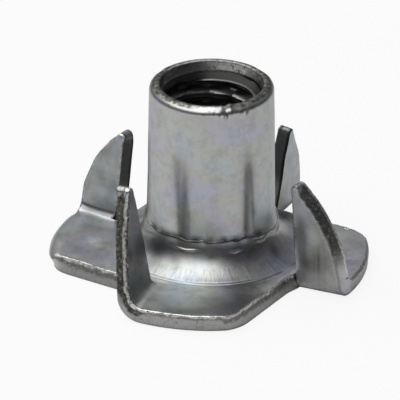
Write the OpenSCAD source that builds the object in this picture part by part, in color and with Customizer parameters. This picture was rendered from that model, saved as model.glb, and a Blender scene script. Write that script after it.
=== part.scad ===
// Four-pronged tee nut for wood: one piece of sheet steel, drawn up into a
// threaded barrel, with four prongs sheared out of the round flange and
// folded up. It stands on the flat underside of its flange, barrel up.
// Origin: centre of the flange's underside, on the barrel axis. +Z is up,
// towards the barrel's mouth. All lengths are millimetres.

/* [Sheet] */
// thickness of the sheet the nut is pressed from
sheet_t = 1; // [0.9:0.02:1.1]

/* [Flange] */
// diameter across the flange's round upper edge
flange_d = 19.2; // [18.8:0.1:19.6]
// how much the blanked rim draws in from its upper to its lower edge
rim_draft = 0.08; // [0:0.02:0.12]
// rounding of the lower rim, where the blanking rolled it over
rim_roll_r = 0.22; // [0.1:0.02:0.3]
// radius of each lobe's outer corner at the top
corner_r = [1.5, 0.7, 0.7, 0.7]; // [0.5:0.1:1.6]
// and at its foot, where the shearing has drawn it in
corner_low_r = [1.8, 1.8, 1.8, 1.8]; // [1.7:0.1:2.5]
// angle of that corner past the centre line of its lobe
corner_angle = 9.2; // [8:0.1:10.4]
// direction of the sheared edge that runs in from that corner
shear_angle = 147.5; // [146:0.5:149]
// slope of the sheared face, out towards its lower edge
shear_tilt = 13; // [0:1:15]

/* [Barrel] */
// height from the flange's underside to the mouth, on the axis
barrel_h = 11.62; // [11:0.01:12.5]
// outside diameter just under the mouth
barrel_top_d = 7.44; // [7.3:0.02:7.6]
// outside diameter at the foot of the straight wall
barrel_foot_d = 7.76; // [7.6:0.02:7.9]
// rounding of the outer edge of the mouth
mouth_r = 0.45; // [0.3:0.01:0.5]
// how far the mouth is out of square, down towards -Y
mouth_tilt = 2.2; // [0:0.1:3]
// radius of the concave sweep from wall to flange
sweep_r = 2.23; // [2.1:0.01:2.3]
// slope of the sweep where it leaves the wall, in a crease
sweep_angle = 4.6; // [3:0.1:6]
// how far the crease stands out from the foot of the wall
step_w = 0.05; // [0.04:0.01:0.08]
// depth of the ring pressed in near the outer end of the sweep
ring_depth = 0.05; // [0.03:0.01:0.1]
// diameter of that ring
ring_d = 11.3; // [11:0.1:11.5]

/* [Flutes] */
// how many shallow flutes stand around the lower wall
flute_n = 6; // [4:1:8]
// angle of the first flute from +X
flute_angle = 4.5; // [0:0.5:30]
// radius of the flute's round section
flute_r = 0.4; // [0.36:0.02:0.6]
// depth of a flute at the foot of the wall
flute_depth = 0.18; // [0.1:0.01:0.26]
// height above the underside at which a flute has run out
flute_top_z = 8; // [6.5:0.1:9]

/* [Bore] */
// bore at the crests of the M6 thread
bore_d = 5; // [4.8:0.05:5.2]
// diameter of the relief at the mouth
sink_d = 6.2; // [6.1:0.02:6.4]
// its diameter where it meets the 45 degree shoulder down to the thread
sink_low_d = 5.92; // [5.8:0.02:6]
// depth of the relief above that shoulder
sink_depth = 0.5; // [0.4:0.05:0.7]

/* [Prongs] */
// thickness of the prongs, thinned a little by the fold
prong_t = 0.88; // [0.78:0.01:0.95]
// distance from the barrel axis to the foot of a prong
foot_dist = 6.24; // [6.2:0.02:6.36]
// angle of that foot from the centre line of its lobe
foot_angle = 38.7; // [38:0.1:39.4]
// width of the slit between each prong and the next lobe's sheared edge
slit_w = [0.24, 0.24, 0.42, 0.3]; // [0.18:0.01:0.5]
// height above the underside at which that slit ends
slit_z = 0.7; // [0.6:0.05:0.9]
// how far in the slit runs past the outside of the fold
slit_l = 1.35; // [1.3:0.05:1.5]
// least gap that the slit leaves
slit_gap = 0.13; // [0.1:0.01:0.15]
// how much each prong's curved edge draws in towards its outer face
edge_draft = [0.18, 0.1, 0.24, 0.18]; // [0:0.02:0.24]
// rounding of a prong's point
point_r = 0.3; // [0.2:0.05:0.4]
// turn of the fold from the lobe's centre line, prong by prong
turn = [31, 30, 36, 23]; // [20:0.1:38]
// how far each prong stands in over its lobe
set_in = [0, 0, 0.2, -0.1]; // [-0.2:0.05:0.3]
// outward lean of each prong
lean = [4.5, 8.3, 4, 12.4]; // [2:0.1:14]
// length of each prong, underside to its point before rounding
prong_l = [7.34, 7, 7.25, 7.35]; // [6.5:0.01:7.6]
// slant of each prong's inner edge towards the barrel
inner_slant = [1.5, 0, 4.5, 2.3]; // [0:0.1:6]
// radius of each prong's curved outer edge
edge_r = [9.2, 12, 8.7, 21]; // [8:0.1:24]

/* [Folds] */
// radius of the fold's outside at its inner end, by the slit
out_r_slit = 0.45; // [0.3:0.05:0.8]
// radius of each fold's outside at the rim
out_r_rim = [1.1, 1.1, 1.1, 1.7]; // [0.85:0.05:1.8]
// radius of the fold's inside at its inner end
in_r_slit = 0.45; // [0.3:0.05:0.6]
// radius of the fold's inside at the rim
in_r_rim = 0.15; // [0.1:0.05:0.3]

/* [Hidden] */
$fn = 64;
FAR = 30;

flange_r = flange_d / 2;
foot_r = barrel_foot_d / 2;
top_r = barrel_top_d / 2;
bore_r = bore_d / 2;

// centre of the sweep, height of the crease above it, and centre of the bell
sweep_c = [foot_r + step_w + sweep_r * cos(sweep_angle), sheet_t + sweep_r];
crease_z = sweep_c.y - sweep_r * sin(sweep_angle);
bell_r = 3;
bell_c = [6, bell_r];
bell_top_r = bell_c.x - bell_r;
ring_r = 0.14;

// along a lobe's sheared edge from its corner, and square to it, outwards
shear_dir = [cos(shear_angle), sin(shear_angle)];
shear_side = [sin(shear_angle), -cos(shear_angle)];
lobe_corner = flange_r * [cos(corner_angle), sin(corner_angle)];

// foot of a prong, where its outer face and inner edge would meet the floor
foot = foot_dist * [cos(foot_angle), -sin(foot_angle)];
// height up its face at which a prong's curved edge leaves the rim
edge_z = 0.8;

// the flange's centre seen from the foot of prong i, in the prong's frame
function hub(i) = -foot_dist * [cos(foot_angle - turn[i]),
                                -sin(foot_angle - turn[i])] - [0, set_in[i]];
// how far along its fold prong i reaches the rim
function rim_at(i) =
    hub(i).x + sqrt(pow(flange_r, 2) - pow(prong_t - hub(i).y, 2));

// centre of a round of radius r that touches the line from p along dir, on
// the side n, and the circle of radius R about c from inside
function round_centre(p, dir, n, c, R, r) =
    let(a = p + r * n - c, b = a * dir, k = a * a - pow(R - r, 2))
    c + a + (sqrt(b * b - k) - b) * dir;

// centre, in plan, of a lobe corner's round of radius r
function corner_centre(r) =
    round_centre(lobe_corner, shear_dir, -shear_side, [0, 0], flange_r, r);

// centre of the circle of radius r through a and b, to the left of b from a
function arc_centre(a, b, r) =
    let(d = norm(b - a), q = [a.y - b.y, b.x - a.x] / d)
    (a + b) / 2 + q * sqrt(r * r - d * d / 4);

// on a prong's face: x out along the fold, y up from the foot
function inner_dir(i) = [-sin(inner_slant[i]), cos(inner_slant[i])];
function inner_side(i) = [cos(inner_slant[i]), sin(inner_slant[i])];
function point_at(i) = [slit_w[i], 0] + inner_dir(i) * prong_l[i];
function edge_c(i) =
    arc_centre([rim_at(i) - 0.03, edge_z], point_at(i), edge_r[i]);

color("silver") tee_nut();

module tee_nut() {
    difference() {
        union() {
            flange();
            barrel();
            for (i = [0:3]) at_foot(i) prong(i);
        }
        bell_and_bore();
        mouth();
        for (i = [0:flute_n - 1])
            rotate([0, 0, flute_angle + i * 360 / flute_n]) flute();
        for (i = [0:3]) at_foot(i) fold_outside(i);
    }
}

// a prong's own frame: x out along its fold, y in over its lobe, z up
module at_foot(i) {
    rotate([0, 0, 90 * i]) translate([foot.x, foot.y, 0])
        rotate([0, 0, -turn[i]]) translate([0, set_in[i], 0]) children();
}

// the frame of lobe i's sheared face: x in along its upper edge from the
// corner, y into the lobe, z up the slope of the face
module at_shear(i) {
    rotate([0, 0, 90 * i]) translate([lobe_corner.x, lobe_corner.y, sheet_t])
        rotate([0, 0, shear_angle]) rotate([-shear_tilt, 0, 0]) children();
}

// round flange with its lower rim rolled over, sheared into four lobes
module flange() {
    low_r = flange_r - rim_draft;
    difference() {
        rotate_extrude() difference() {
            polygon([[0, 0], [low_r, 0], [low_r, rim_roll_r],
                     [flange_r, sheet_t], [0, sheet_t]]);
            translate([low_r - rim_roll_r, 0]) difference() {
                square(rim_roll_r);
                translate([0, rim_roll_r]) circle(rim_roll_r, $fn = 32);
            }
        }
        for (i = [0:3]) {
            notch(i);
            at_shear(i) lobe_corner_cut(i);
        }
    }
}

// the gap a prong leaves, beyond the last lobe's sheared face: all that
// lies outside the prong, and the slit that frees the prong's inner edge
module notch(i) {
    intersection() {
        at_shear(i - 1) translate([-FAR / 2, -FAR, -FAR / 2]) cube(FAR);
        at_foot(i) union() {
            rotate([lean[i], 0, 0])
                translate([-FAR / 2, -FAR, -FAR / 2]) cube(FAR);
            slit(i, 1 + slit_w[i], 1);
        }
    }
    at_foot(i) slit(i, slit_gap, 0.3);
}

// the slit, a given width and begun a given length outside the fold
module slit(i, width, start) {
    translate([slit_w[i] - width, -start, slit_z])
        cube([width, start + slit_l, 1]);
}

// what the round of lobe i's outer corner takes off, wider at its foot
module lobe_corner_cut(i) {
    top = corner_centre(corner_r[i]);
    low = corner_centre(corner_low_r[i]);
    out = (top + low) / norm(top + low);
    in_lobe = [for (c = [top, low]) [(c - lobe_corner) * shear_dir,
                                     -(c - lobe_corner) * shear_side]];
    cone_round([in_lobe[1].x, in_lobe[1].y, -sheet_t], corner_low_r[i],
               [in_lobe[0].x, in_lobe[0].y, 0], corner_r[i],
               [0, -1, 0], [out * shear_dir, -out * shear_side, 0], 3);
}

// one prong: a plate cut to the shape of its face, and the fold's inside
module prong(i) {
    a = lean[i];
    inner_y = prong_t * cos(a) - (sheet_t - prong_t * sin(a)) * tan(a);
    intersection() {
        union() {
            rotate([a, 0, 0]) translate([-2, 0, edge_z]) cube([FAR, prong_t, FAR]);
            translate([0, inner_y, sheet_t])
                fold_round(i, in_r_slit, in_r_rim, 0.7);
        }
        rotate([a, 0, 0]) prong_face(i);
    }
}

// what the round of fold i's outside takes off
module fold_outside(i) {
    intersection() {
        fold_round(i, out_r_slit, out_r_rim[i], 3);
        rotate([lean[i], 0, 0]) translate([0.05, -0.01, -1]) cube([FAR, 4, 5]);
    }
}

// the round between the floor and the plane of a prong's face, along the
// fold: its radius goes from r1 by the slit to r2 at the rim
module fold_round(i, r1, r2, reach) {
    a = lean[i];
    m = (1 - sin(a)) / cos(a);
    cone_round([0, r1 * m, r1], r1, [rim_at(i), r2 * m, r2], r2,
               [0, 0, -1], [0, -cos(a), -sin(a)], reach);
}

// what a rounded edge lacks of a sharp one: all between two faces, with
// normals n1 and n2, and the cone that touches both. The cone's axis runs
// from p1, where it is r1 from the faces, to p2, where it is r2 from them;
// it is a hair wider than that, so that it crosses the faces cleanly.
module cone_round(p1, r1, p2, r2, n1, n2, reach) {
    l = norm(p2 - p1);
    axis = (p2 - p1) / l;
    flat = n1 - (n1 * axis) * axis;
    e1 = flat / norm(flat);
    e2 = cross(axis, e1);
    t = atan2(n2 * e2, n2 * e1);
    k = (r2 - r1) / l;
    widen = 1 / sqrt(1 - k * k);
    over = 0.5;
    bite = 0.006;
    start = p1 - over * axis;
    h = l + 2 * over;
    multmatrix([[e1.x, e2.x, axis.x, start.x],
                [e1.y, e2.y, axis.y, start.y],
                [e1.z, e2.z, axis.z, start.z], [0, 0, 0, 1]])
        difference() {
            linear_extrude(h) polygon([[0, 0], reach * [1, 0],
                1.5 * reach * [cos(t / 2), sin(t / 2)], reach * [cos(t), sin(t)]]);
            translate([0, 0, -over])
                cylinder(r1 = widen * (r1 - 2 * over * k) + bite,
                         r2 = widen * (r2 + 2 * over * k) + bite, h = l + 4 * over);
        }
}

// the block that cuts a prong's outline: straight inner edge, round outer
// edge that draws in towards the outer face, rounded point
module prong_face(i) {
    c = edge_c(i);
    p = round_centre([slit_w[i], 0], inner_dir(i), inner_side(i), c, edge_r[i],
                     point_r);
    out = (p - c) / norm(p - c);
    deep = 3;
    slope = edge_draft[i] / prong_t;
    difference() {
        intersection() {
            translate([c.x, deep - 1, c.y]) rotate([90, 0, 0])
                cylinder(r1 = edge_r[i] + slope * (deep - 1 - prong_t),
                         r2 = edge_r[i] - slope * (1 + prong_t), h = deep, $fn = 128);
            translate([slit_w[i], deep - 1, 0]) rotate([90, 0, 0])
                linear_extrude(deep) rotate(inner_slant[i]) square(FAR);
        }
        translate([0, deep - 1, 0]) rotate([90, 0, 0]) linear_extrude(deep)
            difference() {
                polygon([p, p - 2 * inner_side(i),
                         p - 2 * inner_side(i) + 2 * out, p + 2 * out]);
                translate(p) circle(point_r, $fn = 32);
            }
    }
}

// barrel wall, crease and sweep down to the flange
module barrel() {
    rotate_extrude() {
        polygon([[0, 0], [foot_r, 0], [foot_r, crease_z],
                 [top_r, barrel_h - mouth_r], [top_r, barrel_h + 1],
                 [0, barrel_h + 1]]);
        difference() {
            polygon([[0, 0], [sweep_c.x, 0], sweep_c, [foot_r - 0.1, crease_z],
                     [0, crease_z]]);
            translate(sweep_c) circle(sweep_r);
            translate(sweep_c) rotate(-acos((ring_d / 2 - sweep_c.x) / sweep_r))
                translate([sweep_r + ring_depth - ring_r, 0])
                    circle(ring_r, $fn = 24);
        }
    }
}

// bell mouth under the flange, and bore up through the barrel
module bell_and_bore() {
    rotate_extrude() {
        difference() {
            translate([0, -1]) square([bell_c.x, bell_c.y + 1]);
            translate(bell_c) circle(bell_r);
        }
        polygon([[0, bell_c.y], [bell_top_r, bell_c.y],
                 [bore_r, bell_c.y + bell_top_r - bore_r],
                 [bore_r, barrel_h + 2], [0, barrel_h + 2]]);
    }
}

// what is cut off the barrel's top to leave its round lip and the relief
module mouth() {
    lip_r = top_r - mouth_r;
    translate([0, 0, barrel_h]) rotate([mouth_tilt, 0, 0]) rotate_extrude() {
        polygon([[0, -sink_depth - sink_low_d / 2], [sink_low_d / 2, -sink_depth],
                 [sink_d / 2, 0], [lip_r, 0], [lip_r, 3], [0, 3]]);
        difference() {
            translate([lip_r, -mouth_r]) square([1, 3 + mouth_r]);
            translate([lip_r, -mouth_r]) circle(mouth_r, $fn = 48);
        }
    }
}

// one flute: a round groove from just below the crease, running out up the wall
module flute() {
    foot_z = crease_z - 0.2;
    rise = flute_top_z - foot_z;
    wall = foot_r + (top_r - foot_r) * rise / (barrel_h - mouth_r - foot_z);
    translate([foot_r - flute_depth + flute_r, 0, foot_z])
        rotate([0, atan((wall - foot_r + flute_depth) / rise), 0])
            cylinder(r = flute_r, h = rise, $fn = 32);
}
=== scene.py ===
"""A four-pronged tee nut: zinc-plated sheet steel, drawn up into a threaded
barrel, with four prongs sheared out of its round flange and folded up.

The nut is one mesh. Its barrel is a revolved grid whose rows follow the
section from the flange up the outside, over the lip and down the threaded
bore. Its flange and prongs are one sheet: each quarter is laid out flat, as
the blank was, triangulated, and folded up, and its cut edges are closed with
walls that have a burr above and a rolled edge below. Lengths in the modelling
code are millimetres, as in the CAD source, and become metres at the end.
"""

import math

import bmesh
import bpy
import numpy as np
from mathutils import Matrix, Vector
from mathutils.geometry import delaunay_2d_cdt


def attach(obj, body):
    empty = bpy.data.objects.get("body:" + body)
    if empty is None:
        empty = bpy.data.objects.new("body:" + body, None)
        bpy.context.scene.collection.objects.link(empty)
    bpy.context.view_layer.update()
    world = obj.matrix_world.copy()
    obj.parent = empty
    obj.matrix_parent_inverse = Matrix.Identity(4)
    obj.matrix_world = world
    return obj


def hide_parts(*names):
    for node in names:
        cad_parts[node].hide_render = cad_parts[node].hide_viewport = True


MM = 0.001

# --- sizes of the nut, in millimetres and degrees. Most are the CAD source's,
# and the rest were fitted to the photograph after it. A row of four has one
# value for each quarter: the right lobe and front right prong, the back lobe
# and back right prong, the left and back left, the front and front left.

SHEET_T = 1.0
FLANGE_R = 9.6
RIM_DRAFT = 0.08
RIM_ROLL = 0.22
CORNER_R = (1.5, 0.7, 0.7, 0.9)
CORNER_ANGLE = 9.2
SHEAR_ANGLE = 147.5
SHEAR_FLARE = 0.23
# how far each lobe's sheared edge is set in from the straight line, and the
# length over which it comes in
SHEAR_IN = (0.0, 0.0, 0.0, 0.24)
SHEAR_IN_LENGTH = 1.6

BARREL_H = 11.62
TOP_R = 3.72
FOOT_R = 3.88
LIP_R = 0.45
MOUTH_TILT = 2.2
SWEEP_R = 2.4
SWEEP_ANGLE = 9.0
CREASE_R = 3.93
BELL_R = 3.0
BELL_C = (6.0, 3.0)
RING_R = 5.66
FLUTE_N = 6
FLUTE_ANGLE = 4.5
FLUTE_TOP_Z = 8.0
FLUTE_DEPTH = 0.05

BORE_R = 2.5
THREAD_ROOT_R = 2.98
PITCH = 1.0
CREST_Z_AT_BACK = 10.74
CREST_HALF = 0.14
SINK_R = 3.1
SINK_LOW_R = 2.96
SINK_DEPTH = 0.5
# how far the shoulder above the thread, painted black as shade, reaches down
SHOULDER_DEPTH = 0.46

PRONG_T = 0.88
FOOT_DIST = 6.24
FOOT_ANGLE = 38.7
# where each curved edge starts: how high, and how far in from the rim
EDGE_Z = 0.8
EDGE_IN = 0.03
POINT_R = 0.3
TURN = (31.0, 30.0, 36.0, 23.0)
SET_IN = (0.0, 0.0, 0.2, -0.1)
LEAN = (4.5, 8.3, 4.0, 12.4)
PRONG_L = (7.34, 7.0, 6.96, 7.62)
SLIT_W = (0.24, 0.24, 0.6, 0.3)
# how much of the way round the fold each slit reaches
SLIT_REACH = 0.4
INNER_SLANT = (1.5, 0.0, 4.5, 2.3)
EDGE_R = (9.2, 12.0, 7.6, 21.0)
EDGE_DRAFT = np.array((0.18, 0.1, 0.24, 0.18))
OUT_R_SLIT = (0.45, 0.45, 0.6, 0.45)
OUT_R_RIM = (1.1, 1.1, 1.2, 1.7)
IN_R_SLIT = (0.45, 0.45, 0.6, 0.5)
IN_R_RIM = (0.3, 0.3, 0.6, 0.9)
# how far each outline dips in where it passes over the fold
WAIST = (0.0, 0.0, 0.08, 0.0)

# how much painted shade darkens each prong up its face and in its fold
PRONG_SHADE = (0.3, 0.35, 0.55, 0.4)
FOLD_SHADE = (0.3, 0.2, 0.75, 0.3)
# how strongly each prong's curved edge is torn
EDGE_RAG = (0.85, 0.8, 0.8, 1.0)

# the radius of each rim's upper edge, and how far down its burr and then its
# torn band end; the width at which a rim's burr has its full height
RIM_CROWN = np.array((0.2, 0.1, 0.7, 0.1))
RIM_BURR = np.array((0.1, 0.2, 0.02, 0.14))
RIM_TORN = RIM_BURR + 0.1
FULL_BURR = 0.22
# Each stretch of cut edge: how far its lower edge stands out, the radii of
# its lower and upper edges, the burr's height, and where down the edge (0 to
# 1) the bright burr starts and ends and the dark torn band ends.
EDGE_STYLES = {
    "shear": (SHEAR_FLARE, 0.10, 0.04, 0.03, 0.0, 0.18, 0.46),
    "corner": ((-0.1, -0.1, 0.04, -0.15), RIM_ROLL, 0.8 * RIM_CROWN, 0.02,
               0.0, 0.14, 0.40),
    "rim": (-RIM_DRAFT, RIM_ROLL, RIM_CROWN, 0.035 * (RIM_BURR / FULL_BURR),
            0.0, RIM_BURR, RIM_TORN),
    "over": (-0.10, 0.20, 0.06, 0.03, 0.0, (0.0, 0.2, 0.2, 0.2),
             (0.0, 0.5, 0.5, 0.5)),
    "edge": (-EDGE_DRAFT, 0.14, 0.06, 0.02, (0.1, 0.0, 0.0, 0.2),
             (0.2, 0.2, 0.1, 0.36), 0.90),
    "tip": ((0.05, 0.0, 0.12, 0.22), 0.10, 0.13, 0.0, 0.0,
            (0.35, 0.1, 0.2, 0.35), 0.35),
    "inner": ((0.0, 0.0, 0.18, 0.0), 0.06, 0.04, 0.0, 0.0, 0.0, 0.0),
    "slit": (0.0, 0.04, 0.02, 0.0, 0.0, 0.0, 0.97),
}
STYLE_NAMES = ("flare", "roll", "crown", "lift", "start", "burr", "torn")

# how much painted shade darkens the inner edge and the tip of each prong
INNER_SHADE = (0.4, 1.1, 1.0, 0.4)
TIP_SHADE = (0.0, 0.8, 0.4, 0.0)
# patches of painted shade and painted reflection on the flange and the sweep:
# place in plan, half widths left to right and front to back, and strength
SHADE_PATCHES = ((4.45, 3.7, 0.42, 0.8, 0.9), (3.8, -2.5, 0.35, 0.45, 0.6),
           (-3.3, -3.1, 1.0, 1.1, 1.0), (1.7, -7.9, 2.6, 1.0, 0.6),
           (-2.0, -9.1, 2.4, 0.7, 0.75))

# the sweep's ridges: angle, half width in degrees and height in millimetres;
# its ring: the radius and depth of two grooves
RIDGES = ((-112, 11, 2.42), (-70, 6, 2.36), (-40, 8, 2.55), (20, 12, 2.45),
          (75, 9, 2.35), (150, 14, 2.45), (-160, 9, 2.5))
GROOVES = ((RING_R - 0.12, 0.03), (RING_R + 0.04, 0.035))
# the lip's nicks: angle, half width in degrees, how far out and how far down;
# and the angle of its bright stretch
NICKS = ((-83, 3.0, 0.04, 0.03), (-77, 2.2, -0.04, 0.09), (-72, 2.0, 0.06, -0.03),
         (-62, 3.0, 0.07, 0.02), (-57, 2.2, -0.03, 0.05), (-100, 14.0, 0.0, 0.04),
         (150, 6.0, -0.02, 0.03), (35, 8.0, -0.02, 0.03))
LIP_FRONT = -93

# how far the sheet bows, and the front lobe's faint crease: a point on it, the
# way across it in plan, and the drop for each millimetre that way
BOW = 0.028
LOBE_CREASE = (1.43, -6.47)
LOBE_CREASE_ACROSS = (0.946, 0.323)
LOBE_CREASE_DROP = 0.045

# --- mesh densities

# points round the barrel, and the step down its bore; the circle along which it
# meets the sheet; the sheet's triangles, and the step along its cut edges; rows
# down a cut edge's face and over each of its rounded edges
THETA_N = 270
BORE_STEP = 0.09
SEAM_R = 6.05
GRID = 0.17
EDGE_STEP = 0.08
WALL_ROWS = 9
ROLL_ROWS = 3

# the sweep's centre in the section, and the height at which it ends in the crease
SWEEP_C = (CREASE_R + SWEEP_R * math.cos(math.radians(SWEEP_ANGLE)),
           SHEET_T + SWEEP_R)
CREASE_Z = SWEEP_C[1] - SWEEP_R * math.sin(math.radians(SWEEP_ANGLE))


# --- small helpers

def unit(angle):
    """Unit vector in the plane at an angle in degrees."""
    a = math.radians(angle)
    return np.array([math.cos(a), math.sin(a)])


def axes(a):
    """The plane's unit axes turned by an angle in radians."""
    return np.array([[math.cos(a), math.sin(a)], [-math.sin(a), math.cos(a)]])


def bearing(v):
    """Angle of a vector in the plane, in degrees."""
    return math.degrees(math.atan2(v[1], v[0]))


def turned(points, angle):
    """Plane points turned about the origin by an angle in degrees."""
    c, s = unit(angle)
    x, y = points[..., 0], points[..., 1]
    return np.stack([c * x - s * y, s * x + c * y], axis=-1)


def smooth(x, low, high):
    """0 below low, 1 above high, eased between them."""
    t = np.clip((x - low) / (high - low), 0, 1)
    return t * t * (3 - 2 * t)


def peak(x, width, power=2):
    """1 where x is 0, falling off on both sides: flatter with a higher power."""
    return np.exp(-(x / width) ** power)


def directions(vectors):
    """Vectors scaled to length 1."""
    return vectors / np.linalg.norm(vectors, axis=-1)[..., None]


def waves(points, length, seed, count=14):
    """Smooth noise, about -1 to 1, with detail of a given length."""
    rng = np.random.default_rng(seed)
    d = directions(rng.normal(size=(count, points.shape[-1])))
    d *= 2 * math.pi / length * rng.uniform(0.6, 1.5, (count, 1))
    phase = rng.uniform(0, 2 * math.pi, count)
    return np.sin(points @ d.T + phase).sum(-1) / math.sqrt(count * 0.5) * 0.5


def spread(length, step, least=2):
    """Values from 0 to 1 so that a line of that length has points a step apart."""
    return np.linspace(0, 1, max(least, int(round(length / step)) + 1))


def arc(centre, radius, a0, a1, step=EDGE_STEP):
    """Points on an arc from angle a0 to a1, in degrees, ends included."""
    t = spread(abs(math.radians(a1 - a0)) * radius, step, 3)
    a = np.radians(a0 + (a1 - a0) * t)
    return np.column_stack([centre[0] + radius * np.cos(a),
                            centre[1] + radius * np.sin(a)])


def crossing(c, radius, y):
    """Where the right half of a circle about c is at height y, and how much it
    leans in there for each unit of height."""
    x = c[0] + math.sqrt(radius ** 2 - (y - c[1]) ** 2)
    return x, (y - c[1]) / (x - c[0])


def round_centre(p, along, side, c, big, r):
    """Centre of a round of radius r touching the line from p along a direction,
    on one side of it, and the circle of radius big about c from inside."""
    a = p + r * side - c
    b = a @ along
    return c + a + (math.sqrt(b * b - a @ a + (big - r) ** 2) - b) * along


def patches(x, y):
    """How dark the patches of painted shade and painted reflection are at places in plan.
    """
    return sum(strength * np.exp(-((x - px) / wide) ** 2 - ((y - py) / deep) ** 2)
               for px, py, wide, deep, strength in SHADE_PATCHES)


def distances(points):
    """Distance along lines of points, which run down the first axis."""
    steps = np.diff(points, axis=0, prepend=points[:1])
    return np.cumsum(np.linalg.norm(steps, axis=-1), axis=0)


def placed(name, data):
    """A new object in the scene."""
    obj = bpy.data.objects.new(name, data)
    bpy.context.scene.collection.objects.link(obj)
    return obj


# --- one prong: where it stands, how it folds, its outline

class Prong:
    """Prong i in its own frame: x out along the fold, q across it on the flat
    blank (towards the lobe), w up the prong's face from the fold's corner."""

    def __init__(self, i):
        self.i = i
        self.foot = FOOT_DIST * unit(-FOOT_ANGLE)
        self.turn, self.set_in, self.slit = TURN[i], SET_IN[i], SLIT_W[i]
        self.lean = math.radians(LEAN[i])
        self.slant = math.radians(INNER_SLANT[i])
        self.edge_r = EDGE_R[i]
        # the nut's axis, and where the prong's outer face crosses the rim
        a = FOOT_ANGLE - self.turn
        self.hub = np.array([-FOOT_DIST * unit(a)[0],
                             FOOT_DIST * unit(a)[1] - self.set_in])
        self.rim_x, _ = crossing(self.hub, FLANGE_R, PRONG_T)
        # how far from its corner the fold starts, for each millimetre of radius
        self.m = (1 - math.sin(self.lean)) / math.cos(self.lean)
        self.across, self.up = axes(self.lean)
        self.bend = math.pi / 2 - self.lean
        # where the inner face meets the flange's top: up the prong, and across
        self.w_top = (SHEET_T - PRONG_T * math.sin(self.lean)) / math.cos(self.lean)
        self.inner_y = (PRONG_T * self.across + self.w_top * self.up)[0]
        self.side, self.along = axes(self.slant)
        self.point = np.array([self.slit, 0]) + self.along * PRONG_L[i]
        start = np.array([self.rim_x - EDGE_IN, EDGE_Z])
        d = self.point - start
        n = np.array([-d[1], d[0]]) / np.linalg.norm(d)
        half = np.linalg.norm(d) / 2
        self.edge_c = (start + self.point) / 2 + n * math.sqrt(
            self.edge_r ** 2 - half ** 2)
        self.tip_c = round_centre(np.array([self.slit, 0]), self.along, self.side,
                                  self.edge_c, self.edge_r, POINT_R)
        self.tip_angle = bearing(self.tip_c - self.edge_c)

    def to_plan(self, x, q):
        """Plan position of a point of the blank."""
        local = np.stack([x, q + self.set_in], axis=-1)
        return turned(turned(local, -self.turn) + self.foot, 90 * self.i)

    def from_plan(self, p):
        """The blank's x and q at plan positions."""
        local = turned(turned(p, -90 * self.i) - self.foot, self.turn)
        return local[..., 0], local[..., 1] - self.set_in

    def radii(self, x):
        """Radius of the fold's outside and inside at x."""
        t = np.clip(x / self.rim_x, -0.1, 1.2)
        i = self.i
        return (OUT_R_SLIT[i] + (OUT_R_RIM[i] - OUT_R_SLIT[i]) * t,
                IN_R_SLIT[i] + (IN_R_RIM[i] - IN_R_SLIT[i]) * t)

    def zone(self, x):
        """Where the flat ends on the blank, where the straight face starts up
        the prong, and the lengths of blank, outside and inside between them."""
        ro, ri = self.radii(x)
        flat = np.maximum(ro * self.m, self.inner_y + ri * self.m)
        face = np.maximum(ro * self.m, self.w_top + ri * self.m)
        outer = flat - ro * self.m + ro * self.bend + face - ro * self.m
        inner = (flat - self.inner_y - ri * self.m + ri * self.bend
                 + face - self.w_top - ri * self.m)
        return flat, face, (outer + inner) / 2, outer, inner

    def on_blank(self, x, w):
        """Points at height w up the straight face, as x and q on the blank."""
        flat, face, blank, _, _ = self.zone(x)
        return np.column_stack([x, flat - blank - (w - face)])

    def fold(self, x, q, top):
        """y and z of the folded sheet's upper (top) or lower surface."""
        flat, _, blank, outer, inner = self.zone(x)
        over = inner if top else outer
        r = self.radii(x)[1 if top else 0]
        start = (self.inner_y if top else 0.0) + r * self.m
        z0 = SHEET_T if top else 0.0
        gone = np.maximum(flat - q, 0)
        length = np.where(gone < blank, gone / blank * over, over + gone - blank)
        level = np.minimum(length, flat - start)
        angle = np.clip((length - level) / r, 0, self.bend)
        rest = np.maximum(length - level - r * self.bend, 0)
        y = np.where(q >= flat, q, flat - level) - r * np.sin(angle)
        z = z0 + r * (1 - np.cos(angle))
        return y + rest * self.up[0], z + rest * self.up[1]

    def rim_outline(self):
        """Outer edge from the flat flange over the fold and up to the tip, as x
        and q on the blank."""
        flat, face, blank, _, _ = self.zone(self.rim_x)
        x0, s0 = crossing(self.hub, FLANGE_R, flat)
        x1, s1 = crossing(self.edge_c, self.edge_r, face)
        # between the rim and the curved edge, a curve that keeps their slopes
        t = spread(blank, EDGE_STEP)
        h = [2 * t ** 3 - 3 * t ** 2 + 1, t ** 3 - 2 * t ** 2 + t,
             -2 * t ** 3 + 3 * t ** 2, t ** 3 - t ** 2]
        x = h[0] * x0 + h[1] * s0 * blank + h[2] * x1 - h[3] * s1 * blank
        x = x - WAIST[self.i] * np.sin(math.pi * t) ** 2
        over = np.column_stack([x, self.zone(x)[0] - t * self.zone(x)[2]])
        a0 = bearing((x1, face) - self.edge_c)
        up = arc(self.edge_c, self.edge_r, a0, self.tip_angle)[1:]
        return over, self.on_blank(*up.T)

    def tip_outline(self):
        """The rounded point, from the curved edge to the inner edge."""
        end = 180 + math.degrees(self.slant)
        round_tip = arc(self.tip_c, POINT_R, self.tip_angle, end, EDGE_STEP / 2)[1:]
        return self.on_blank(*round_tip.T)

    def slit_q(self):
        """How far across the fold the slit reaches, on the blank."""
        flat, _, blank, _, _ = self.zone(self.slit)
        return float(flat - SLIT_REACH * blank)

    def inner_outline(self):
        """The inner edge, from the point down to the end of the slit."""
        top = self.tip_c - POINT_R * self.side
        face = float(self.zone(self.slit)[1])
        w = top[1] + (face - top[1]) * spread(top[1] - face, EDGE_STEP)[1:]
        x = self.slit - math.tan(self.slant) * w
        down = self.on_blank(x, w)
        end = np.array([self.slit, self.slit_q()])
        t = spread(np.linalg.norm(end - down[-1]), EDGE_STEP)[1:, None]
        return np.vstack([down, down[-1] + (end - down[-1]) * t])


PRONGS = [Prong(i) for i in range(4)]


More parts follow.
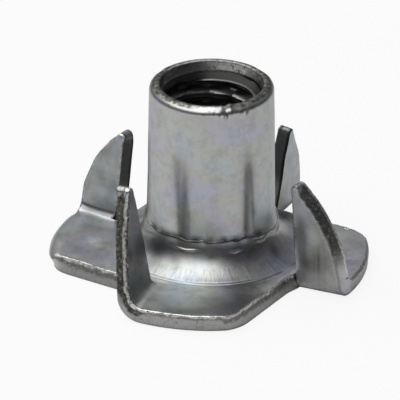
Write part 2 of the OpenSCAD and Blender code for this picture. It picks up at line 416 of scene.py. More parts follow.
def slit_end(i):
    """Plan position where lobe i-1's sheared edge ends at prong i's slit."""
    corner = turned(FLANGE_R * unit(CORNER_ANGLE), 90 * (i - 1))
    along = turned(unit(SHEAR_ANGLE), 90 * (i - 1))
    prong = PRONGS[i % 4]
    _, q0 = prong.from_plan(corner)
    _, q1 = prong.from_plan(corner + along)
    return corner + along * (prong.slit_q() - q0) / (q1 - q0)


def seam_index(i):
    """Index round the seam circle of the point next to slit end i."""
    return int(round(bearing(slit_end(i)) / 360 * THETA_N))


def seam_point(k):
    """Plan position of seam point k."""
    return SEAM_R * unit(k * 360 / THETA_N)


# --- outline of a quarter of the blank, and what its cut edge is like

def edge_run(points, kind, i):
    """One stretch of quarter i's cut edge: its points, and their kind and style."""
    n = len(points)
    run = {"p": points, "kind": [kind] * n}
    for name, value in zip(STYLE_NAMES, EDGE_STYLES[kind]):
        run[name] = np.full(n, np.broadcast_to(value, 4)[i])
    return run


def lobe_runs(i, rim_end):
    """Lobe i's sheared edge, from slit end i+1, its corner, and its rim as far
    as a plan position: the points and kind of each."""
    along, side = unit(SHEAR_ANGLE), unit(SHEAR_ANGLE - 90)
    corner = FLANGE_R * unit(CORNER_ANGLE) - SHEAR_IN[i] * side
    radius = CORNER_R[i]
    c = round_centre(corner, -along, -side, np.zeros(2), FLANGE_R, radius)
    touch = turned(corner + ((c - corner) @ along) * along, 90 * i)
    start = slit_end(i + 1)
    inward = -SHEAR_IN[i] * turned(side, 90 * i)
    run = np.linalg.norm(touch - start)
    t = spread(run, EDGE_STEP)[:, None]
    sheared = (start + (touch - inward - start) * t
               + inward * smooth(t * run, 0, SHEAR_IN_LENGTH))
    out = bearing(c)
    bend = turned(arc(c, radius, SHEAR_ANGLE - 90, out, EDGE_STEP / 1.6), 90 * i)[1:]
    a0 = out + 90 * i
    rim = arc((0, 0), FLANGE_R, a0, a0 - (a0 - bearing(rim_end)) % 360)[1:]
    return [(sheared, "shear"), (bend, "corner"), (rim, "rim")]


def prong_runs(i):
    """Prong i's edges, from the rim over the fold, up to the point, down to the
    slit and round its end: where they start, and the points and kind of each."""
    prong = PRONGS[i]
    over, up = prong.rim_outline()
    tip, down = prong.tip_outline(), prong.inner_outline()
    last = prong.to_plan(*down[-1])
    bulge = prong.to_plan(*(down[-1] + [-prong.slit / 2, prong.slit * 0.4]))
    s = np.linspace(0, 1, 6)[1:, None]
    slit = (1 - s) ** 2 * last + 2 * s * (1 - s) * bulge + s ** 2 * slit_end(i)
    return prong.to_plan(*over[0]), [
        (prong.to_plan(*over[1:].T), "over"), (prong.to_plan(*up.T), "edge"),
        (prong.to_plan(*tip.T), "tip"), (prong.to_plan(*down.T), "inner"),
        (slit, "slit")]


def cut_edge(i):
    """The cut edge of quarter i, from slit end i+1 round the lobe and the prong
    to slit end i: points, and at each of them its kind, its style, how ragged
    it is and its distance s along the edge."""
    rim_end, round_prong = prong_runs(i)
    runs = [edge_run(points, kind, i)
            for points, kind in lobe_runs(i, rim_end) + round_prong]
    edge = {k: np.concatenate([r[k] for r in runs]) for k in runs[0]}
    length = distances(edge["p"])
    # the lobes' torn bands are finer than the prongs'
    on_lobe = np.isin(edge["kind"], ("shear", "corner", "rim"))
    on_curve = np.isin(edge["kind"], ("edge", "over"))
    edge["rag"] = np.where(on_lobe, 0.6, np.where(on_curve, EDGE_RAG[i], 1.0))
    wide_flare = eased(edge["flare"], length, 1.3)
    for name in STYLE_NAMES + ("rag",):
        edge[name] = eased(edge[name], length, 1.1 if name == "crown" else 0.45)
    edge["flare"] = np.where(on_lobe, wide_flare, edge["flare"])
    edge["lift"] *= unrounded(edge)
    # the edge is plain where it meets the next quarter's
    for name in ("flare", "roll", "crown", "lift"):
        edge[name] *= tapered(length, 0.5, 0.35)
    edge["s"] = length
    return edge


def unrounded(edge):
    """1 where an edge's upper corner is tight enough to have a burr, else 0."""
    return smooth(0.25 - edge["crown"], 0, 0.12)


def eased(values, length, width):
    """Values along an edge, blended over a width where they change."""
    w = peak(length[:, None] - length[None, :], width / 2)
    return (w @ values) / w.sum(1)


def tapered(s, start, end):
    """1 along an edge, eased to 0 over a length at its start and at its end."""
    return smooth(s, 0, start) * smooth(s[-1] - s, 0, end)


def outward(p):
    """Unit normals, to the left of the way along an open line of points."""
    t = np.gradient(p, axis=0)
    return directions(np.column_stack([-t[:, 1], t[:, 0]]))


# --- a quarter of the sheet

def inside(points, polygon):
    """Which points lie inside a closed polygon."""
    x, y = points[:, 0][:, None], points[:, 1][:, None]
    x0, y0 = polygon.T
    x1, y1 = np.roll(polygon, -1, axis=0).T
    crosses = (y0 > y) != (y1 > y)
    with np.errstate(divide="ignore", invalid="ignore"):
        left = x < (x1 - x0) * (y - y0) / (y1 - y0) + x0
    return (crosses & left).sum(1) % 2 == 1


def triangulate(loop):
    """Vertices and triangles of the blank inside a closed loop of points."""
    low, high = loop.min(0), loop.max(0)
    rows = np.arange(low[1], high[1], GRID * 0.866)
    grid = np.array([(x + (k % 2) * GRID / 2, y) for k, y in enumerate(rows)
                     for x in np.arange(low[0], high[0], GRID)])
    grid = grid[inside(grid, loop)]
    gap = np.sqrt(((grid[:, None] - loop[None]) ** 2).sum(-1)).min(1)
    points = np.vstack([loop, grid[gap > GRID * 0.55]])
    n = len(loop)
    edges = [(k, (k + 1) % n) for k in range(n)]
    out = delaunay_2d_cdt([Vector(p) for p in points], edges, [], 0, 1e-7)
    tris = np.array(out[2])
    return points, tris[inside(points[tris].mean(1), loop)]


def folded(prong, plan, top):
    """The place in space of points of the blank's upper or lower surface."""
    x, q = prong.from_plan(plan)
    y, z = prong.fold(x, q, top)
    flat_z = SHEET_T if top else 0.0
    bent = np.where(q > prong.slit_q(), smooth(x, 0, prong.slit), 1.0)
    bent = np.where(x > -0.5, bent, 0.0)
    y = q + (y - q) * bent
    z = flat_z + (z - flat_z) * bent
    if top:
        short = np.maximum(SWEEP_C[0] - np.linalg.norm(plan, axis=1), 0)
        z = z + SWEEP_R - np.sqrt(SWEEP_R ** 2 - short ** 2)
    return np.column_stack([prong.to_plan(x, y), z])


def seam_link(i, k):
    """Two points of the cut from slit end i to seam point k, the second on the
    seam."""
    return slit_end(i) + (seam_point(k) - slit_end(i)) * np.array([[0.5], [1.0]])


def sheet_quarter(i, build):
    """Adds a quarter of the flange with its prong to the mesh being built."""
    prong = PRONGS[i]
    edge = cut_edge(i)
    n = len(edge["p"])
    k0, k1 = seam_index(i), seam_index(i + 1)
    if k1 <= k0:
        k1 += THETA_N
    seam = np.array([seam_point(k) for k in range(k0 + 1, k1)])
    loop = np.vstack([edge["p"], seam_link(i, k0), seam, seam_link(i + 1, k1)[::-1]])
    points, tris = triangulate(loop)
    normal = outward(edge["p"])
    # the outlines of the two surfaces lie inside the wall by its rounded edges
    d = np.sqrt(((points[:, None] - edge["p"][None]) ** 2).sum(-1))
    near_edge, gap = d.argmin(1), d.min(1)
    fade = np.clip(1 - gap / 0.9, 0, 1)
    fade[n:len(loop)] = 0
    out = normal[near_edge] * fade[:, None]
    shift = (edge["flare"] - edge["roll"])[near_edge][:, None]
    inset = edge["crown"][near_edge][:, None]
    upper = folded(prong, points - out * inset, True)
    lower = folded(prong, points + out * shift, False)
    upper, lower = uneven(points, upper, lower, i)
    area = points[tris]
    flip = np.cross(area[:, 1] - area[:, 0], area[:, 2] - area[:, 0]) < 0
    tris[flip] = tris[flip][:, ::-1]
    worn = peak(gap, 0.12) * unrounded(edge)[near_edge]
    worn[n:len(loop)] = 0
    shade_marks = sheet_shade_and_marks(prong, points, upper)
    build.add(upper, tris, worn=worn, dark=shade_marks)
    build.add(lower, tris[:, ::-1], worn=worn, dark=shade_marks)
    wall(edge, upper[:n], lower[:n], i, {"dark": shade_marks[:n]}, build)


def sheet_shade_and_marks(prong, plan, upper):
    """How dark the sheet is painted: painted shade, darker up the prongs and
    darkest in the fold, with patches of painted shade and reflection on the
    flange. The front right prong has a dark band and streaks besides."""
    x, q = prong.from_plan(plan)
    flat, _, blank, _, _ = prong.zone(x)
    round_fold = (flat - q) / blank
    # painted shade up the prong's face and in its fold
    face = PRONG_SHADE[prong.i] * smooth(round_fold, 0.6, 1.2)
    fold = (FOLD_SHADE[prong.i] * smooth(round_fold, 0.3, 0.45)
            * smooth(1.6 - round_fold, 0, 0.9))
    blotch = 1 + 0.3 * waves(plan, 1.6, 70 + prong.i)
    shade_marks = np.maximum(face, fold) * blotch
    if prong.i == 0:
        height = upper[:, 2]
        band = (peak(x - 0.66, 0.4) * smooth(height, 1.4, 2.2)
                * smooth(-height, -5.8, -3.6))
        streaks = np.exp(-((x - 1.8) / 0.45) ** 2 - ((height - 2.3) / 0.9) ** 2)
        shade_marks = shade_marks + 0.95 * band + 0.5 * streaks * (1 + waves(x[:, None], 0.3, 77))
    beyond = (x > -0.3) & (round_fold > 0)
    return np.where(beyond, np.clip(shade_marks, 0, 1), patches(plan[:, 0], plan[:, 1]))


def uneven(plan, upper, lower, i):
    """The sheet's own unevenness: bowed prongs, a flange that isn't quite flat
    on top, and the front lobe's corner bent down past a faint crease."""
    through = directions(upper - lower)
    on_prong = smooth(upper[:, 2], 1.1, 2.0)
    off_sweep = smooth(np.linalg.norm(plan, axis=1), 6.1, 7.2)
    bow = BOW * (waves(plan, 3.0, 60 + i)[:, None] * through)
    upper = upper + bow * off_sweep[:, None]
    lower = lower + bow * on_prong[:, None]
    if i == 3:
        past = (upper[:, :2] - LOBE_CREASE) @ LOBE_CREASE_ACROSS
        upper[:, 2] -= LOBE_CREASE_DROP * np.maximum(past, 0) * off_sweep * (1 - on_prong)
    return upper, lower


def low_end(points, i):
    """Less than 1 where the front right prong's edge is smooth, near its foot."""
    return smooth(points[:, 2], 1.6, 3.6) if i == 0 else np.ones(len(points))


def wall_rows(edge, top, low):
    """Rows of points down a cut edge, from the outline of the sheet's upper
    surface to that of its lower one, and the wall's ways out and up."""
    through = top - low
    out = directions(np.cross(through, np.gradient(low, axis=0)))
    crown, roll = edge["crown"][:, None], edge["roll"][:, None]
    up = directions(through - (through * out).sum(1)[:, None] * out)
    lift = edge["lift"] * (1 + 0.5 * waves(edge["p"], 0.5, 11)
                           + 0.4 * waves(edge["p"], 0.2, 31))
    turn = np.radians(np.linspace(0, 90, ROLL_ROWS + 1))
    above = [top + up * (lift[:, None] * math.cos(a / 2) ** 2 - crown * (1 - math.cos(a)))
             + out * crown * math.sin(a) for a in turn]
    foot = low + (out + up) * roll
    face = [above[-1] + (foot - above[-1]) * t
            for t in np.linspace(0, 1, WALL_ROWS + 1)[1:]]
    below = [low + up * roll * (1 - math.sin(a)) + out * roll * math.cos(a)
             for a in turn[1:]]
    return np.array([top] + above + face + below), out, up


def wall_bands(edge, rows, depth, i):
    """How burred and how torn a cut edge is at each point of its rows, whose
    depth is 0 at the top and 1 at the foot."""
    wobble = 0.035 * waves(edge["p"], 0.7, 5) + 0.02 * waves(edge["p"], 0.25, 7)
    burr = (smooth(edge["burr"] + wobble - depth, -0.03, 0.03)
            * smooth(depth - edge["start"] - wobble, -0.03, 0.03))
    end = edge["torn"] * (1 + 0.1 * waves(edge["p"], 0.5, 6))
    torn = smooth(end - depth, -0.03, 0.03)
    torn = torn * (1 - burr) * edge["rag"] * smooth(0.5 - edge["crown"], 0, 0.3)
    torn = torn * np.where(edge["kind"] == "edge", low_end(rows[0], i), 1.0)
    return burr * unrounded(edge), torn


def roughen(edge, rows, depth, burr, torn, out, up):
    """Moves the points of a cut edge in and out where it is burred or torn."""
    rough = np.array([waves(row, 0.3, 40) for row in rows])
    fine = np.array([waves(row, 0.13, 41) for row in rows])
    ends = tapered(edge["s"], 0.4, 0.4)
    inner = (depth > 0.02) & (depth < 0.98)
    move = (0.018 * rough * burr + (0.014 * fine - 0.02) * torn) * ends * inner
    rows = rows + move[..., None] * out
    crest = slice(1, ROLL_ROWS + 1)
    rows[crest] += (0.012 * fine * burr * ends)[crest, :, None] * up
    return rows


def wall(edge, top, low, i, sheet, build):
    """Closes a cut edge between the outlines of the sheet's two surfaces: a
    rounded upper edge with its burr, a torn band, a smooth face, and a rolled
    lower edge. The sheet's own values are kept on the outlines."""
    rows, out, up = wall_rows(edge, top, low)
    m, n = rows.shape[:2]
    run = distances(rows)
    depth = run / run[-1]
    burr, torn = wall_bands(edge, rows, depth, i)
    rows = roughen(edge, rows, depth, burr, torn, out, up)
    rows[0], rows[-1] = top, low
    quads = np.array([(r * n + c, (r + 1) * n + c, (r + 1) * n + c + 1, r * n + c + 1)
                      for r in range(m - 1) for c in range(n - 1)])
    kind = edge["kind"]
    plated = np.where(np.isin(kind, ("edge", "over")), 1 - low_end(top, i), 0)
    # painted shade on the prongs' inner edges and tips, and painted shadow along the lower
    # rolled part of every cut edge
    shade_amount = (kind == "inner") * INNER_SHADE[i] + (kind == "tip") * TIP_SHADE[i]
    values = {"cut": smooth(0.35 - edge["crown"], 0, 0.2) * (1 - plated),
              "dark": eased(shade_amount, edge["s"], 0.2) + 0.75 * smooth(depth, 0.72, 0.94),
              "burr": burr, "torn": torn}
    for name, value in values.items():
        value = np.array(np.broadcast_to(value, (m, n)))
        value[0] = value[-1] = sheet.get(name, 0)
        values[name] = value.ravel()
    build.add(rows.reshape(-1, 3), quads, **values)


# --- the barrel, as a revolved grid

def barrel_rows():
    """Radius and height of each row of the section, from the seam on the upper
    face up the outside, over the lip, down the bore and out to the seam, and
    the name of the stretch that each row is on."""
    at_seam = math.degrees(math.asin((SWEEP_C[0] - SEAM_R) / SWEEP_R))
    sweep = arc(SWEEP_C, SWEEP_R, -90 - at_seam, -180 + SWEEP_ANGLE, 0.05)
    crease = [(FOOT_R + 0.035, CREASE_Z + 0.02), (FOOT_R, CREASE_Z + 0.05)]
    wall_top = BARREL_H - LIP_R
    wall_z = np.linspace(CREASE_Z + 0.1, wall_top, 26)
    wall_r = FOOT_R + (TOP_R - FOOT_R) * (wall_z - CREASE_Z) / (wall_top - CREASE_Z)
    lip_c = (TOP_R - LIP_R, wall_top)
    inner = math.degrees(math.acos((SINK_R - lip_c[0]) / LIP_R))
    lip = arc(lip_c, LIP_R, 0, inner, 0.045)[1:]
    t = np.linspace(0, 1, 7)[1:]
    relief = lip[-1] + np.outer(t, (SINK_LOW_R - SINK_R, -SINK_DEPTH))
    shoulder = SINK_LOW_R - BORE_R
    cut = relief[-1] + np.outer(t, (-shoulder, -shoulder))
    # the bore ends in a 45 degree cone that meets the bell
    foot = BELL_C[1] + BELL_C[0] - BELL_R - BORE_R
    bore_z = np.arange(cut[-1, 1] - BORE_STEP, foot + BORE_STEP * 0.7, -BORE_STEP)
    bore = np.column_stack([np.full(len(bore_z), BORE_R), bore_z])
    cone = [(BORE_R + s, foot - s) for s in (0.0, 0.1, 0.25, 0.4)]
    bell = arc(BELL_C, BELL_R, 180, 270, 0.3)
    stretches = [("sweep", sweep), ("crease", crease),
                 ("wall", np.column_stack([wall_r, wall_z])), ("lip", lip),
                 ("relief", relief), ("bore", cut), ("bore", bore),
                 ("under", cone), ("under", bell), ("under", [(SEAM_R, 0.0)])]
    names = np.concatenate([[name] * len(rows) for name, rows in stretches])
    return np.vstack([rows for _, rows in stretches]), names


class Turning:
    """The barrel's grid, with the sweep and the bell: the radius, height and
    angle of each point, the stretch it is on, and how the metal looks there."""

    def __init__(self):
        rows, part = barrel_rows()
        theta = np.arange(THETA_N) * 2 * math.pi / THETA_N
        self.r, self.theta = np.meshgrid(rows[:, 0], theta, indexing="ij")
        self.z = np.repeat(rows[:, 1][:, None], THETA_N, axis=1)
        self.part = np.repeat(part[:, None], THETA_N, axis=1)
        self.relief_foot = rows[part == "relief"][-1, 1]
        self.c, self.s = np.cos(self.theta), np.sin(self.theta)
        # where each point is, for the noise: on a plain circle, and in space
        self.around = np.stack([self.c * 4, self.s * 4], axis=-1)
        self.space = np.stack([self.c * self.r, self.s * self.r, self.z], axis=-1)
        self.dark = self.burr = self.torn = self.matt = np.zeros(self.r.shape)

    def on(self, *names):
        """Where the grid is on one of these stretches."""
        return np.isin(self.part, names)

    def near(self, angle):
        """Degrees round from a direction, -180 to 180."""
        return (np.degrees(self.theta) - angle + 180) % 360 - 180

    def crest_gap(self):
        """Distance along the axis from the middle of the M6 thread's crest, as a
        share of its pitch."""
        turns = ((self.z - CREST_Z_AT_BACK) / PITCH
                 - (self.theta - math.pi / 2) / (2 * math.pi))
        return np.abs(turns - np.round(turns))

    def flute_depth(self):
        """Depth of the flutes pressed into the lower wall."""
        step = 2 * math.pi / FLUTE_N
        turn = self.theta - math.radians(FLUTE_ANGLE)
        off = (np.remainder(turn + step / 2, step) - step / 2) * FOOT_R
        run = np.clip((FLUTE_TOP_Z - self.z) / (FLUTE_TOP_Z - CREASE_Z), 0, 1)
        return FLUTE_DEPTH * run ** 0.7 * peak(off, 0.2 + 0.1 * run) * (run > 0)

    def flutes(self):
        """The flutes and the barrel's left and right sides, painted darker as shade,
        and the slight waviness of a drawn wall.
        """
        outer = self.on("wall", "lip")
        flute = np.where(self.on("wall"), self.flute_depth(), 0)
        # painted shade in the flutes and on the barrel's left and right sides
        self.dark = np.clip(flute / FLUTE_DEPTH, 0, 1) * 0.8 + 0.3 * outer * self.c ** 6
        self.r = self.r - flute + np.where(outer, 0.012 * waves(self.space, 3.0, 3), 0)

    def crease(self):
        """The crease, which wanders up and down, sags on the right and varies in
        depth. At the sides the wall flares into the sweep without one."""
        foot = self.on("wall", "crease", "sweep")
        side = smooth(np.abs(self.c), 0.86, 0.98) * foot
        above = self.z - CREASE_Z
        r = self.r + 0.12 * side * peak(above + 0.1, 0.45)
        deep = smooth(waves(self.around, 0.9, 12), -0.5, 0.8) * (1 - side)
        self.r = r - 0.035 * deep * peak(above - 0.04, 0.06) * foot
        # painted shade along the crease, darker where it is deeper and lighter on the right
        line = peak(above - 0.02, 0.13) * foot * (1 - side)
        shade = (1.05 + 0.45 * deep) * (1 - 0.3 * smooth(self.c, 0.1, 0.6))
        self.dark = np.maximum(self.dark, shade * line)
        wander = 0.05 * waves(self.around, 1.5, 8) + 0.03 * waves(self.around, 0.6, 9)
        sag = 0.32 * smooth(self.c, 0.45, 0.95) * smooth(-self.s, -0.2, 0.2)
        self.z = self.z + foot * (wander * peak(above, 0.25) - sag * peak(above, 0.7))

    def sweep_marks(self):
        """Low ridges where the sheet has bunched below the crease, the ring that
        the tool has pressed in near the outer end of the sweep, and painted shade:
        in the ring's grooves, on the sweep's upper part and right side, and in
        patches of painted shade and reflection."""
        sweep = self.on("sweep")
        for angle, span, height in RIDGES:
            a = self.near(angle)
            rise = height + 0.012 * np.abs(a) / span * 8
            ridge = peak(a, span, 4) * peak(self.z - rise, 0.06) * sweep
            self.z = self.z + 0.035 * ridge
            self.r = self.r + 0.03 * ridge
        for ring, deep in GROOVES:
            broken = smooth(waves(self.around, 2.2, int(ring * 100)), -0.9, 0.0)
            groove = broken * peak(self.r - ring, 0.04) * sweep
            self.z = self.z - deep * groove
            # painted shade in the groove
            self.dark = np.maximum(self.dark, 0.8 * groove)
        # painted shade on the upper sweep and on its right side, and the patches of painted
        # shade and reflection
        x, y = self.r * self.c, self.r * self.s
        fillet = smooth(self.z, 1.5, 2.1) * smooth(-x, -1.2, 1.5) * sweep
        right = smooth(x, 0, 1.7) * smooth(-y, 0, 2.5) * sweep
        self.dark = np.maximum(self.dark,
                               patches(x, y) * sweep + 0.3 * fillet + 0.42 * right)

    def thread(self):
        """The M6 thread: the bore painted dark as shade, darker in its grooves, but
        for crests left without it in places towards the mouth; the shoulder above
        the thread painted black as shade."""
        bore = self.on("bore")
        off = self.crest_gap()
        bite = np.clip((off - CREST_HALF) / (0.5 - 2 * CREST_HALF), 0, 1) * bore
        self.r = self.r + bite * np.maximum(THREAD_ROOT_R - self.r, 0)
        # where, towards the mouth, the crests are left without the painted shade
        crest_reach = smooth(waves(self.space, 1.6, 15), -0.9, 0.4) * smooth(self.z, 6.5, 9.0)
        crest = peak(off - CREST_HALF, 0.028) * bore * crest_reach
        # painted shade over the bore, taken off those crests
        self.dark = np.where(bore, 0.95 + 0.15 * bite, self.dark) - 0.95 * crest
        # the shoulder above the thread, painted black as shade
        shoulder = (bore & (self.r > BORE_R + 0.02)
                    & (self.z > self.relief_foot - SHOULDER_DEPTH))
        self.dark = np.where(shoulder, 1.6, self.dark)

    def mouth(self):
        """The relief inside the mouth, matt at the back and painted lighter there as
        light, darker elsewhere as shade; and the lip, out of square, mottled, and
        nicked in front."""
        relief, lip = self.on("relief"), self.on("lip")
        # the back of the relief is matt and painted light, here and in the burr's bright
        # colour below; the rest of the relief is painted shade
        bright = peak(self.near(66), 32)
        self.dark = np.where(relief, 0.5 - 0.5 * bright + 0.2 * waves(self.space, 0.5, 14),
                             self.dark)
        self.r = self.r + 0.015 * waves(self.space, 0.4, 19) * relief
        self.burr = (np.clip(bright, 0, 0.9) * relief
                     + 0.5 * peak(self.near(LIP_FRONT), 15, 4) * lip)
        self.matt = relief * bright
        self.torn = np.where(lip, self.lip_stain(), 0)
        lean = math.tan(math.radians(MOUTH_TILT)) * self.s * self.r
        self.z = self.z + lean * smooth(self.z, 9.4, 11.0)
        for angle, width, out, down in NICKS:
            nick = peak(self.near(angle), width) * lip
            self.r = self.r + out * nick * smooth(self.r, TOP_R - LIP_R - 0.1, TOP_R)
            self.z = self.z - down * nick * smooth(self.z, BARREL_H - LIP_R - 0.3, BARREL_H)

    def lip_stain(self):
        """How torn the lip is: in a mottled band on its inner half, but for a
        bright stretch in front."""
        inner = smooth(TOP_R - 0.13 - self.r, 0, 0.1)
        front = peak(self.near(LIP_FRONT), 16, 4)
        back = peak(self.near(90), 60, 4)
        mottle = 1 + 0.5 * waves(self.space, 0.35, 18)
        return np.clip(inner * (1.0 - front - 0.5 * back) * mottle, 0, 1)

    def add_to(self, build):
        """Adds the grid to the mesh, closed round the axis."""
        points = np.stack([self.c * self.r, self.s * self.r, self.z], axis=-1)
        k = np.arange(THETA_N)
        ahead = (k + 1) % THETA_N
        quads = np.concatenate([
            np.column_stack([a + k, a + ahead, a + THETA_N + ahead, a + THETA_N + k])
            for a in THETA_N * np.arange(len(self.r) - 1)])
        streak = (self.on("sweep") * smooth(self.r, 4.5, 4.9)
                  * smooth(-self.r, -5.6, -5.4))
        build.add(points.reshape(-1, 3), quads, streak=streak.ravel(),
                  **{name: getattr(self, name).ravel()
                     for name in ("dark", "burr", "torn", "matt")})


def barrel(build):
    """Adds the barrel, its sweep and the bell under it to the mesh."""
    grid = Turning()
    grid.flutes()
    grid.crease()
    grid.sweep_marks()
    grid.thread()
    grid.mouth()
    grid.add_to(build)


# --- gathering the mesh

MARKS = ("cut", "burr", "torn", "dark", "streak", "worn", "matt")
MERGE_DISTANCE = 2e-6
SHARP_ANGLE = 38


class Build:
    """Vertices, faces and vertex values of the mesh being built."""

    def __init__(self):
        self.points, self.faces = [], []
        self.values = {name: [] for name in MARKS}
        self.count = 0

    def add(self, points, faces, **values):
        self.points.append(points)
        self.faces += (faces + self.count).tolist()
        for name, kept in self.values.items():
            kept.append(values.get(name, np.zeros(len(points))))
        self.count += len(points)

    def to_object(self, name):
        mesh = bpy.data.meshes.new(name)
        mesh.from_pydata(np.vstack(self.points) * MM, [], self.faces)
        for key, kept in self.values.items():
            layer = mesh.attributes.new(key, "FLOAT", "POINT")
            layer.data.foreach_set("value", np.concatenate(kept).astype(np.float32))
        bm = bmesh.new()
        bm.from_mesh(mesh)
        bmesh.ops.remove_doubles(bm, verts=bm.verts, dist=MERGE_DISTANCE)
        bmesh.ops.recalc_face_normals(bm, faces=bm.faces)
        bm.to_mesh(mesh)
        bm.free()
        mesh.shade_smooth()
        mesh.set_sharp_from_angle(angle=math.radians(SHARP_ANGLE))
        return placed(name, mesh)


def make_nut():
    """The whole nut as one mesh."""
    build = Build()
    barrel(build)
    for i in range(4):
        sheet_quarter(i, build)
    return build.to_object("tee_nut_sheet")


# --- material: stops of colour along a noise, and plain colours

TINTS = ((0.30, (0.54, 0.60, 0.645)), (0.42, (0.60, 0.62, 0.615)),
         (0.52, (0.595, 0.605, 0.56)), (0.62, (0.59, 0.58, 0.635)),
         (0.75, (0.53, 0.60, 0.66)))
SOIL = ((0.32, (0.74, 0.75, 0.74)), (0.56, (1.0, 1.0, 1.0)))
PITS = ((0.28, (0.45, 0.45, 0.43)), (0.36, (1.0, 1.0, 1.0)))
DRAW_LINES = ((0.38, (0.55, 0.55, 0.54)), (0.56, (1.0, 1.0, 1.0)))
CUT_FACE = ((0.32, (0.30, 0.30, 0.29)), (0.5, (0.46, 0.46, 0.45)))
TORN_BAND = ((0.36, (0.06, 0.057, 0.05)), (0.60, (0.17, 0.165, 0.145)),
             (0.70, (0.55, 0.53, 0.48)))
BURR_RIDGE = ((0.34, (0.22, 0.21, 0.19)), (0.46, (0.82, 0.81, 0.78)))
SHADE_COLOUR = (0.10, 0.105, 0.10, 1)
BLACK = (0.035, 0.036, 0.033, 1)
WORN = (0.70, 0.70, 0.68, 1)


class Nodes:
    """Short ways to add and join the nodes of a material or a world."""

    def __init__(self, owner):
        owner.use_nodes = True
        self.tree = owner.node_tree

    def join(self, value, socket):
        """Links an output to an input, or sets the input to a constant."""
        if isinstance(value, bpy.types.NodeSocket):
            self.tree.links.new(value, socket)
        else:
            socket.default_value = value

    def fill(self, node, **values):
        """Joins values to a node's inputs by name, and gives the node."""
        for name, value in values.items():
            self.join(value, node.inputs[name])
        return node

    def add(self, kind, *values, **settings):
        """A new node with these settings, and its first inputs joined."""
        node = self.tree.nodes.new("ShaderNode" + kind)
        for name, value in settings.items():
            setattr(node, name, value)
        for value, socket in zip(values, node.inputs):
            self.join(value, socket)
        return node

    def maths(self, operation, *values, clamp=False):
        return self.add("Math", *values, operation=operation, use_clamp=clamp).outputs[0]

    def times(self, a, b, clamp=False):
        return self.maths("MULTIPLY", a, b, clamp=clamp)

    def noise(self, vector, scale, detail, roughness=0.55):
        node = self.fill(self.add("TexNoise", vector), Scale=scale, Detail=detail,
                         Roughness=roughness)
        return node.outputs["Fac"]

    def ramp(self, factor, *stops):
        node = self.add("ValToRGB", factor)
        row = node.color_ramp.elements
        while len(row) < len(stops):
            row.new(0.5)
        for element, (position, colour) in zip(row, stops):
            element.position = position
            element.color = (*colour, 1)
        return node.outputs["Color"]

    def mix(self, factor, a, b, blend="MIX"):
        node = self.add("Mix", factor, data_type="RGBA", blend_type=blend)
        colours = [k for k in node.inputs if k.type == "RGBA"]
        self.join(a, colours[0])
        self.join(b, colours[1])
        return [k for k in node.outputs if k.type == "RGBA"][0]

    def bump(self, height, strength, distance, normal=None):
        node = self.fill(self.add("Bump"), Height=height, Strength=strength,
                         Distance=distance)
        if normal:
            self.fill(node, Normal=normal)
        return node.outputs[0]


def draw_space(n, place):
    """Angle, radius and height about the axis, scaled so that a noise in them
    is long up the barrel and out over the sweep."""
    x, y, z = n.add("SeparateXYZ", place).outputs
    radius = n.maths("SQRT", n.maths("ADD", n.times(x, x), n.times(y, y)))
    return n.add("CombineXYZ", n.maths("ARCTAN2", y, x), n.times(radius, 30.0),
                 n.times(z, 30.0)).outputs[0]


def metal_colour(n, marks, noises):
    """Tinted and soiled plating, streaked along the draw; the sheared edges'
    grey face, dark torn band and bright burr; painted shade, with the front
    right prong's dark band and streaks, from dark to black; wear."""
    colour = n.mix(0.8, n.ramp(noises["patches"], *TINTS),
                   n.ramp(noises["mottle"], *SOIL), "MULTIPLY")
    colour = n.mix(0.5, colour, n.ramp(noises["specks"], *PITS), "MULTIPLY")
    colour = n.mix(n.times(marks["streak"], 0.6), colour,
                   n.ramp(noises["lines"], *DRAW_LINES), "MULTIPLY")
    fleck = noises["fleck"]
    colour = n.mix(n.times(marks["cut"], 0.9), colour,
                   n.ramp(fleck, *CUT_FACE))
    # painted shade from the dark mark: towards a dark grey, and towards black where
    # strongest
    shade_amount = n.times(marks["dark"], 0.8, clamp=True)
    colour = n.mix(shade_amount, colour, SHADE_COLOUR)
    black = n.times(n.maths("SUBTRACT", marks["dark"], 1.25), 3.0, clamp=True)
    colour = n.mix(black, colour, BLACK)
    colour = n.mix(marks["torn"], colour, n.ramp(fleck, *TORN_BAND))
    colour = n.mix(marks["burr"], colour, n.ramp(fleck, *BURR_RIDGE))
    return n.mix(n.times(marks["worn"], 0.4), colour, WORN)


def metal_roughness(n, marks, noises):
    """Rougher where mottled, drawn, cut, torn or matt."""
    rough = 0.22
    for value, share in ((noises["mottle"], 0.16), (noises["lines"], 0.08),
                         (marks["cut"], 0.08), (marks["torn"], 0.15),
                         (marks["matt"], 0.45)):
        rough = n.maths("ADD", rough, n.times(value, share))
    return n.maths("MINIMUM", rough, 1.0)


def metal_relief(n, marks, noises):
    """Draw lines, mottle and grain everywhere, and flecks on the burrs and torn
    bands."""
    lines = n.times(noises["lines"], n.maths("ADD", 0.25, marks["streak"]))
    ragged = n.times(noises["fleck"],
                     n.maths("ADD", marks["burr"], marks["torn"], clamp=True))
    surface = n.bump(lines, 0.5, 0.00003)
    surface = n.bump(noises["mottle"], 0.35, 0.00002, surface)
    surface = n.bump(noises["grain"], 0.25, 0.000006, surface)
    return n.bump(ragged, 0.6, 0.00003, surface)


